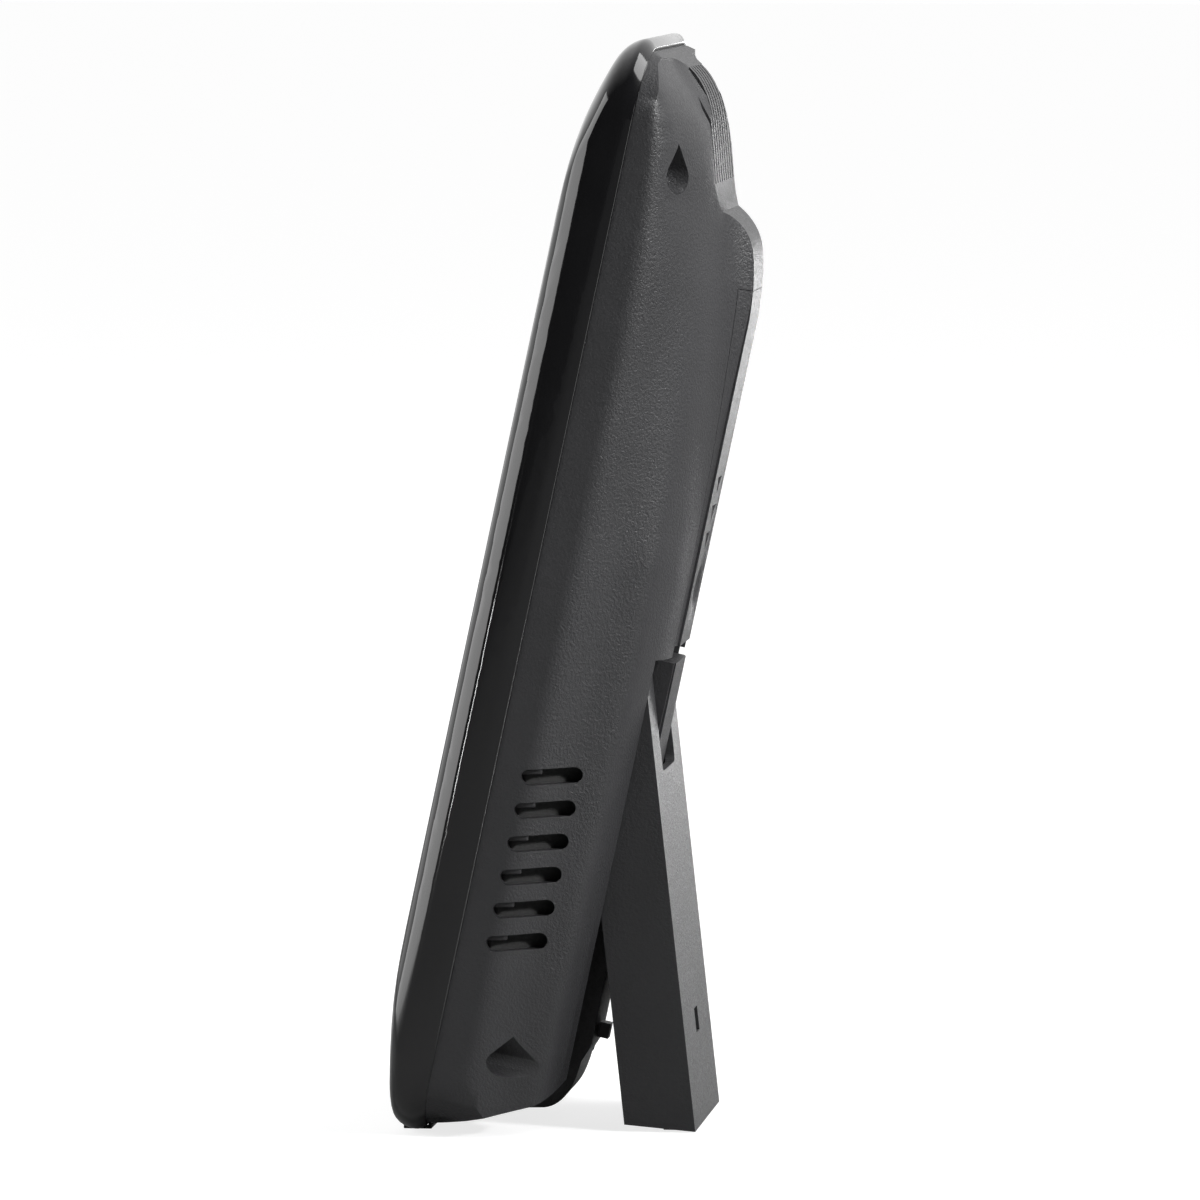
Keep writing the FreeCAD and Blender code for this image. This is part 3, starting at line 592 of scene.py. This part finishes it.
edge_at = [p for p in (to_slab @ v.co / MM for v in nodes["front_bezel"].data.vertices)
           if -8.92 < p.z < -8.88]
edge_x = max(p.x for p in edge_at)
edge_y0, edge_y1 = min(p.y for p in edge_at), max(p.y for p in edge_at)
BEAD, BEAD_SIDES = 0.14, 8
shape = bmesh.new()
loops = []
for n in range(BEAD_SIDES):
    a = 2 * math.pi * n / BEAD_SIDES
    loops.append([shape.verts.new(Vector((*p, -8.85 + BEAD * math.sin(a))) * MM)
                  for p in rounded_rim(0.0, (edge_y0 + edge_y1) / 2, edge_x, (edge_y1 - edge_y0) / 2,
                                       11.4, BEAD * math.cos(a))])
join_loops(shape, loops)
bead = plain_mesh("seam_bead", shape, 60)
bead.transform(slab)
piece_from("seam_bead", bead, gloss_black, "housing", "gloss_black")

# ---------------------------------------------------------------------------
# Display.  A hard-coated acrylic window with a black border printed behind
# it, over a reflective liquid crystal cell in a plastic frame.
# ---------------------------------------------------------------------------
low, high = reach("display_lens")
window_x, window_y = (low.x + high.x) / 2, (low.y + high.y) / 2
wide, tall = (high.x - low.x) / 2, (high.y - low.y) / 2
clear, clear_shader = finish("smoked_acrylic", (0.82, 0.85, 0.86), 0.03)
clear_shader.inputs["Transmission Weight"].default_value = 1.0
clear_shader.inputs["IOR"].default_value = 1.49
wear = clear.node_tree.nodes.new("ShaderNodeTexNoise")
wear.inputs["Scale"].default_value = 500.0
wear_range = clear.node_tree.nodes.new("ShaderNodeMapRange")
wear_range.inputs["To Min"].default_value, wear_range.inputs["To Max"].default_value = 0.01, 0.05
wear_place = clear.node_tree.nodes.new("ShaderNodeTexCoord")
clear.node_tree.links.new(wear_place.outputs["Object"], wear.inputs["Vector"])
clear.node_tree.links.new(wear.outputs["Fac"], wear_range.inputs["Value"])
clear.node_tree.links.new(wear_range.outputs["Result"], clear_shader.inputs["Roughness"])
piece_from("display_window", cushion("display_window", window_x, window_y, wide, tall, 3.0,
                                     [(0.0, low.z), (0.0, high.z - 0.3), (0.12, high.z - 0.08),
                                      (0.35, high.z), (3.0, high.z)]),
           clear, "housing", "display_glass", "display_lens")
border_ink = grained("border_ink", (0.006, 0.006, 0.007), (0.010, 0.010, 0.011), 0.35, 0.45, 1200.0,
                     0.000004)
shape = bmesh.new()
outer = rounded_rim(window_x, window_y, wide - 0.3, tall - 0.3, 2.8, 0.0)
inner = rounded_rim(window_x, window_y, wide - 5.0, tall - 5.2, 1.2, 0.0)
rings = [[shape.verts.new(Vector((*p, z)) * MM) for p in rim]
         for rim, z in ((outer, low.z + 0.06), (inner, low.z + 0.06), (inner, low.z + 0.12),
                        (outer, low.z + 0.12))]
join_loops(shape, rings)
border = plain_mesh("window_border", shape)
border.transform(slab)
piece_from("window_border", border, border_ink, "housing", "gloss_black")

cell_low, cell_high = reach("display_module")
liquid_crystal = grained("liquid_crystal_grey", (0.30, 0.36, 0.30), (0.37, 0.43, 0.35), 0.30, 0.40,
                         700.0, 0.000004, 30.0)
nodes["display_module"].data.materials.clear()
nodes["display_module"].data.materials.append(liquid_crystal)
ink = grained("segment_ink", (0.020, 0.026, 0.030), (0.034, 0.040, 0.044), 0.35, 0.45, 900.0, 0.000004)
face = cell_high.z
BARS = 4
for name, x, y, half_x, half_y, step in (("signal_bars", -12.5, 8.2, 0.45, 1.1, (1.5, 0, 0)),
                                         ("charge_bars", 8.6, 8.2, 0.45, 1.1, (1.5, 0, 0)),
                                         ("menu_lines_left", -8.0, 3.2, 5.2, 0.55, (0, -3.4, 0)),
                                         ("menu_lines_right", 5.0, 3.2, 3.0, 0.55, (0, -3.4, 0))):
    one = block("bar", -half_x, half_x, -half_y, half_y, face + 0.01, face + 0.06)
    row = grown(name, in_a_row, one, ink, Count=BARS,
                First=((window_x + x) * MM, (window_y + y) * MM, 0.0),
                Step=tuple(s * MM for s in step))
    piece_from(name, row, None, "housing", "screen")

# ---------------------------------------------------------------------------
# Keys.  Moulded caps with pillowed tops on a rubber mat, number legends
# printed in white, green for calling and red for ending a call.
# ---------------------------------------------------------------------------
key_black = grained("key_black", (0.020, 0.020, 0.021), (0.030, 0.030, 0.031), 0.30, 0.42, 1500.0, 0.000010)
key_green = grained("key_green", (0.020, 0.150, 0.045), (0.028, 0.190, 0.060), 0.30, 0.42, 1500.0, 0.000010)
key_red = grained("key_red", (0.230, 0.018, 0.016), (0.290, 0.026, 0.022), 0.30, 0.42, 1500.0, 0.000010)
legend_white = grained("legend_white", (0.68, 0.68, 0.67), (0.76, 0.76, 0.75), 0.45, 0.55, 1200.0, 0.000004)
FLANGE = 0.7
CAP_PROFILE = [(0.6, -3.0), (-FLANGE, -3.0), (-FLANGE, -2.02), (0.15, -2.02), (0.15, -0.75),
               (0.20, -0.50), (0.38, -0.33), (0.75, -0.22), (1.3, -0.15), (1.9, -0.11)]


def lettered(name, words, x, y, size, front=-0.06, thick=0.09):
    """A printed figure, flat on a key, centred at x and y in millimetres."""
    curve = bpy.data.curves.new(name, "FONT")
    curve.body, curve.size = words, size * MM
    curve.align_x, curve.align_y = "CENTER", "CENTER"
    curve.extrude = thick * MM / 2
    curve.resolution_u = 4
    holder = bpy.data.objects.new(name, curve)
    bpy.context.scene.collection.objects.link(holder)
    bpy.context.view_layer.update()
    mesh = bpy.data.meshes.new_from_object(holder.evaluated_get(bpy.context.evaluated_depsgraph_get()))
    bpy.data.objects.remove(holder)
    xs, ys = [v.co.x for v in mesh.vertices], [v.co.y for v in mesh.vertices]
    middle = Vector(((min(xs) + max(xs)) / 2, (min(ys) + max(ys)) / 2, 0))
    mesh.transform(slab @ Matrix.Translation(Vector((x, y, front - thick / 2)) * MM - middle))
    mesh.name = name
    return mesh


def handset_mark(name, x, y, turn):
    """A small bent handset, its ends thicker than its grip."""
    shape = bmesh.new()
    rows = []
    for n in range(17):
        angle = math.radians(-62 + 124 * n / 16)
        half = 0.34 + 0.42 * max(0.0, abs(n - 8) / 8 - 0.45) / 0.55
        rows.append([Vector(((2.3 + r) * math.sin(angle), (2.3 + r) * math.cos(angle) - 1.9, z))
                     for r in (-half * 1.3, half * 0.7) for z in (-0.15, -0.06)])
    made = [[shape.verts.new(p * MM) for p in row] for row in rows]
    for a, b in zip(made, made[1:]):
        for i, j in ((0, 1), (1, 3), (3, 2), (2, 0)):
            shape.faces.new((a[i], a[j], b[j], b[i]))
    for end in (made[0], made[-1]):
        shape.faces.new((end[0], end[1], end[3], end[2]))
    mesh = plain_mesh(name, shape)
    mesh.transform(slab @ Matrix.Translation(Vector((x, y, 0)) * MM)
                   @ Matrix.Rotation(math.radians(turn), 4, "Z"))
    return mesh


legends = {str(n): str(n) for n in range(10)}
legends.update(star="*", hash="#")
for key in sorted(n for n in nodes if n.startswith("key_") and n != "key_nav"):
    word = key.split("_", 1)[1]
    low, high = reach(key)
    x, y = (low.x + high.x) / 2, (low.y + high.y) / 2
    half_x, half_y = (high.x - low.x) / 2 - FLANGE, (high.y - low.y) / 2 - FLANGE
    cover, slot_name = key_black, "key_black"
    if word == "talk":
        cover, slot_name = key_green, "key_green"
    elif word == "end":
        cover, slot_name = key_red, "key_red"
    if word == "ok":
        half_x = half_y = (high.x - low.x) / 2
        cap = cushion(key + "_cap", x, y, half_x, half_y, half_x,
                      [(0.3, -3.0), (0.0, -2.9), (0.0, -0.6), (0.12, -0.35), (0.4, -0.2),
                       (1.0, -0.13), (2.2, -0.10)])
    else:
        corner = {"soft": 1.8, "talk": 2.4, "end": 2.4}.get(word.split("_")[0], 2.6)
        cap = cushion(key + "_cap", x, y, half_x, half_y, corner, CAP_PROFILE)
    piece_from(key + "_cap", cap, cover, key + "_button", slot_name, key)
    if word in legends:
        mark = lettered(key + "_legend", legends[word], x, y, 5.2)
    elif word in ("talk", "end"):
        mark = handset_mark(key + "_legend", x, y, 45 if word == "talk" else 0)
    elif word == "ok":
        mark = cushion(key + "_legend", x, y, 0.8, 0.8, 0.8, [(0, -0.15), (0, -0.06)])
    else:
        mark = cushion(key + "_legend", x, y, 1.6, 0.3, 0.3, [(0, -0.17), (0, -0.07)])
    piece_from(key + "_legend", mark, legend_white, key + "_button", slot_name)

# ---------------------------------------------------------------------------
# Navigation ring.  One dished ring round the middle key, with four printed
# arrows; it rocks as one piece on the mat below.
# ---------------------------------------------------------------------------
low, high = reach("key_nav")
ring_x, ring_y = (low.x + high.x) / 2, (low.y + high.y) / 2
RING_LOOP = [(4.2, -3.0), (8.7, -3.0), (8.7, -2.02), (7.85, -2.02), (7.85, -0.75), (7.72, -0.42),
             (7.35, -0.2), (6.7, -0.11), (5.9, -0.14), (5.0, -0.26), (4.45, -0.42), (4.25, -0.6),
             (4.2, -0.9)]
shape = bmesh.new()
STEPS_ROUND = 72
loops = [[shape.verts.new(Vector((ring_x + r * math.cos(2 * math.pi * n / STEPS_ROUND),
                                  ring_y + r * math.sin(2 * math.pi * n / STEPS_ROUND), z)) * MM)
          for r, z in RING_LOOP] for n in range(STEPS_ROUND)]
for a, b in zip(loops, loops[1:] + loops[:1]):
    for i in range(len(RING_LOOP)):
        j = (i + 1) % len(RING_LOOP)
        shape.faces.new((a[i], b[i], b[j], a[j]))
ring = plain_mesh("navigation_ring", shape)
ring.transform(slab)
piece_from("navigation_ring", ring, key_black, "key_nav_button", "key_black", "key_nav")
for turn, side in ((0, "right"), (90, "up"), (180, "left"), (270, "down")):
    shape = bmesh.new()
    corners = [(6.9, 0.0), (6.05, 0.75), (6.05, -0.75)]
    sides = [[shape.verts.new(Vector((*c, z)) * MM) for c in corners] for z in (-0.17, -0.06)]
    for n in range(3):
        m = (n + 1) % 3
        shape.faces.new((sides[0][n], sides[0][m], sides[1][m], sides[1][n]))
    shape.faces.new(sides[0])
    shape.faces.new(sides[1])
    arrow = plain_mesh("arrow_" + side, shape)
    arrow.transform(slab @ Matrix.Translation(Vector((ring_x, ring_y, 0)) * MM)
                    @ Matrix.Rotation(math.radians(turn), 4, "Z"))
    piece_from("arrow_" + side, arrow, legend_white, "key_nav_button", "key_black")

# ---------------------------------------------------------------------------
# Ear slot.  A fine black wire cloth behind the slot in the bezel, woven of
# upright and level wires.
# ---------------------------------------------------------------------------
wire_black = grained("wire_cloth_black", (0.05, 0.05, 0.052), (0.09, 0.09, 0.092), 0.35, 0.5, 2200.0,
                     0.000006, 200.0, 0.6)
low, high = reach("earpiece_grille")
slot_y, slot_z = (low.y + high.y) / 2, high.z
upright = block("wire", -0.07, 0.07, -1.15, 1.15, slot_z + 0.02, slot_z + 0.16)
level = block("wire", -7.4, 7.4, -0.06, 0.06, slot_z + 0.05, slot_z + 0.18)
piece_from("ear_wires_upright", grown("ear_wires_upright", in_a_row, upright, wire_black, Count=38,
                                      First=(-7.4 * MM, slot_y * MM, 0.0), Step=(0.4 * MM, 0.0, 0.0)),
           None, "housing", "speaker_black")
piece_from("ear_wires_level", grown("ear_wires_level", in_a_row, level, wire_black, Count=6,
                                    First=(0.0, (slot_y - 1.0) * MM, 0.0), Step=(0.0, 0.4 * MM, 0.0)),
           None, "housing", "speaker_black")

# ---------------------------------------------------------------------------
# Housing screws.  Four zinc-plated pan heads with a cross recess, at the
# bottom of the wells in the housing's corners.
# ---------------------------------------------------------------------------
def screw_mesh(name, head, tall, shank, deep):
    """A pan-head screw whose seat is at the origin and whose head looks along -Z."""
    shape = bmesh.new()
    outline = [(0.0, deep), (shank * 0.6, deep), (shank, deep - 0.8), (shank, 0.0), (head, 0.0),
               (head, -tall * 0.45), (head * 0.9, -tall * 0.78), (head * 0.62, -tall * 0.95),
               (0.0, -tall)]
    turns = 32
    columns = []
    for n in range(turns):
        a = 2 * math.pi * n / turns
        columns.append([shape.verts.new(Vector((r * math.cos(a), r * math.sin(a), z)) * MM)
                        for r, z in outline[1:-1]])
    for a, b in zip(columns, columns[1:] + columns[:1]):
        for i in range(len(a) - 1):
            shape.faces.new((a[i], a[i + 1], b[i + 1], b[i]))
    shape.faces.new([c[0] for c in columns])
    shape.faces.new([c[-1] for c in columns])
    body = bpy.data.objects.new(name, plain_mesh(name, shape))
    arm, wide, sunk = head * 0.6, head * 0.14, tall * 0.55
    cutters = []
    for x, y in ((arm, wide), (wide, arm)):
        slot = block("recess", -x, x, -y, y, -tall - 1, -tall + sunk)
        cutters.append(bpy.data.objects.new("recess", slot))
    for made in [body] + cutters:
        bpy.context.scene.collection.objects.link(made)
    for cutter in cutters:
        cut = body.modifiers.new("recess", "BOOLEAN")
        cut.operation, cut.solver, cut.object = "DIFFERENCE", "EXACT", cutter
    bpy.context.view_layer.update()
    ready = body.evaluated_get(bpy.context.evaluated_depsgraph_get())
    mesh = bpy.data.meshes.new_from_object(ready)
    for spent in [body] + cutters:
        bpy.data.objects.remove(spent)
    mesh.shade_smooth()
    mesh.set_sharp_from_angle(angle=math.radians(35))
    return mesh


def loose_parts(node):
    """The lowest and highest corner of each separate solid in a node, in the slab's measure."""
    shape = bmesh.new()
    shape.from_mesh(nodes[node].data)
    bmesh.ops.remove_doubles(shape, verts=shape.verts, dist=2e-6)
    left, found = set(shape.verts), []
    while left:
        todo, seen = [left.pop()], []
        while todo:
            v = todo.pop()
            seen.append(to_slab @ v.co / MM)
            for e in v.link_edges:
                other = e.other_vert(v)
                if other in left:
                    left.remove(other)
                    todo.append(other)
        found.append((Vector([min(p[i] for p in seen) for i in range(3)]),
                      Vector([max(p[i] for p in seen) for i in range(3)])))
    shape.free()
    return sorted(found, key=lambda pair: tuple(round(c, 3) for c in pair[0]))


HEAD_TALL = 1.5
screws = loose_parts("housing_screws")
heads = [(high.x - low.x) / 2 for low, high in screws]
pattern = screw_mesh("pan_head", heads[0], HEAD_TALL, 1.1, screws[0][1].z - screws[0][0].z - HEAD_TALL)
piece_from("housing_pan_heads",
           grown("housing_pan_heads", at_points, pattern, bright_steel,
                 points=[((low.x + high.x) / 2, (low.y + high.y) / 2, low.z + HEAD_TALL)
                         for low, high in screws],
                 widths=[(r / heads[0], r / heads[0], 1.0) for r in heads], Turn=(0.0, 0.0, 0.0)),
           None, "housing", "steel", "housing_screws")

# ---------------------------------------------------------------------------
# Board screws.  Small pan heads that hold the main board to the bezel's
# posts; the same screw as outside, in a smaller size.
# ---------------------------------------------------------------------------
BOARD_HEAD_TALL = 1.0
screws = loose_parts("board_screws")
pattern = screw_mesh("small_pan_head", (screws[0][1].x - screws[0][0].x) / 2, BOARD_HEAD_TALL, 0.8,
                     screws[0][1].z - screws[0][0].z - BOARD_HEAD_TALL)
piece_from("board_pan_heads",
           grown("board_pan_heads", at_points, pattern, bright_steel,
                 points=[((low.x + high.x) / 2, (low.y + high.y) / 2, low.z + BOARD_HEAD_TALL)
                         for low, high in screws],
                 widths=[(1.0, 1.0, 1.0)] * len(screws), Turn=(0.0, 0.0, 0.0)),
           None, "housing", "steel", "board_screws")

# ---------------------------------------------------------------------------
# Inside.  Green glass-fibre boards with black chips and a tinned shield, a
# sleeved battery cell in a plastic tray, sprung copper contacts, a rubber
# key mat, two small loudspeakers, an earpiece and a microphone.
# ---------------------------------------------------------------------------
board_green = grained("board_green", (0.012, 0.085, 0.035), (0.020, 0.120, 0.050), 0.28, 0.42,
                      1800.0, 0.000006)
chip_black = grained("chip_black", (0.018, 0.018, 0.019), (0.030, 0.030, 0.031), 0.45, 0.60, 2500.0,
                     0.000008)
tin = grained("tinned_plate", (0.52, 0.53, 0.54), (0.62, 0.63, 0.64), 0.25, 0.38, 1500.0, 0.000005,
              120.0, 1.0)
copper = grained("bronze_spring", (0.60, 0.36, 0.18), (0.70, 0.44, 0.24), 0.25, 0.38, 1500.0,
                 0.000005, 120.0, 1.0)
sleeve = grained("cell_sleeve_blue", (0.05, 0.13, 0.30), (0.07, 0.17, 0.36), 0.32, 0.45, 500.0, 0.000010)
inner_plastic = grained("inner_plastic_grey", (0.040, 0.040, 0.042), (0.055, 0.055, 0.058), 0.42, 0.55,
                        1200.0, 0.000015)
cone_black = grained("speaker_cloth", (0.010, 0.010, 0.010), (0.018, 0.018, 0.018), 0.60, 0.80,
                     1800.0, 0.00006)
mat_rubber = grained("key_mat_rubber", (0.050, 0.050, 0.052), (0.070, 0.070, 0.072), 0.60, 0.75,
                     900.0, 0.000020)
covers = {"gloss_black": gloss_black, "textured_black": matte_black, "screen": liquid_crystal,
          "inner_plastic": inner_plastic, "steel": bright_steel, "speaker_black": cone_black,
          "aluminium_can": tin, "key_rubber": mat_rubber, "board_green": board_green,
          "chip_black": chip_black, "copper_trace": copper, "cell_sleeve": sleeve,
          "foot_rubber": rubber}
slots = {part["node"]: part["material_slot"] for part in frame["record"]["subparts"]}
for node in sorted(nodes):
    if nodes[node].hide_render or node in ("display_module", "stand_pins", "detent_washers"):
        continue
    nodes[node].data.materials.clear()
    nodes[node].data.materials.append(covers[slots[node]])
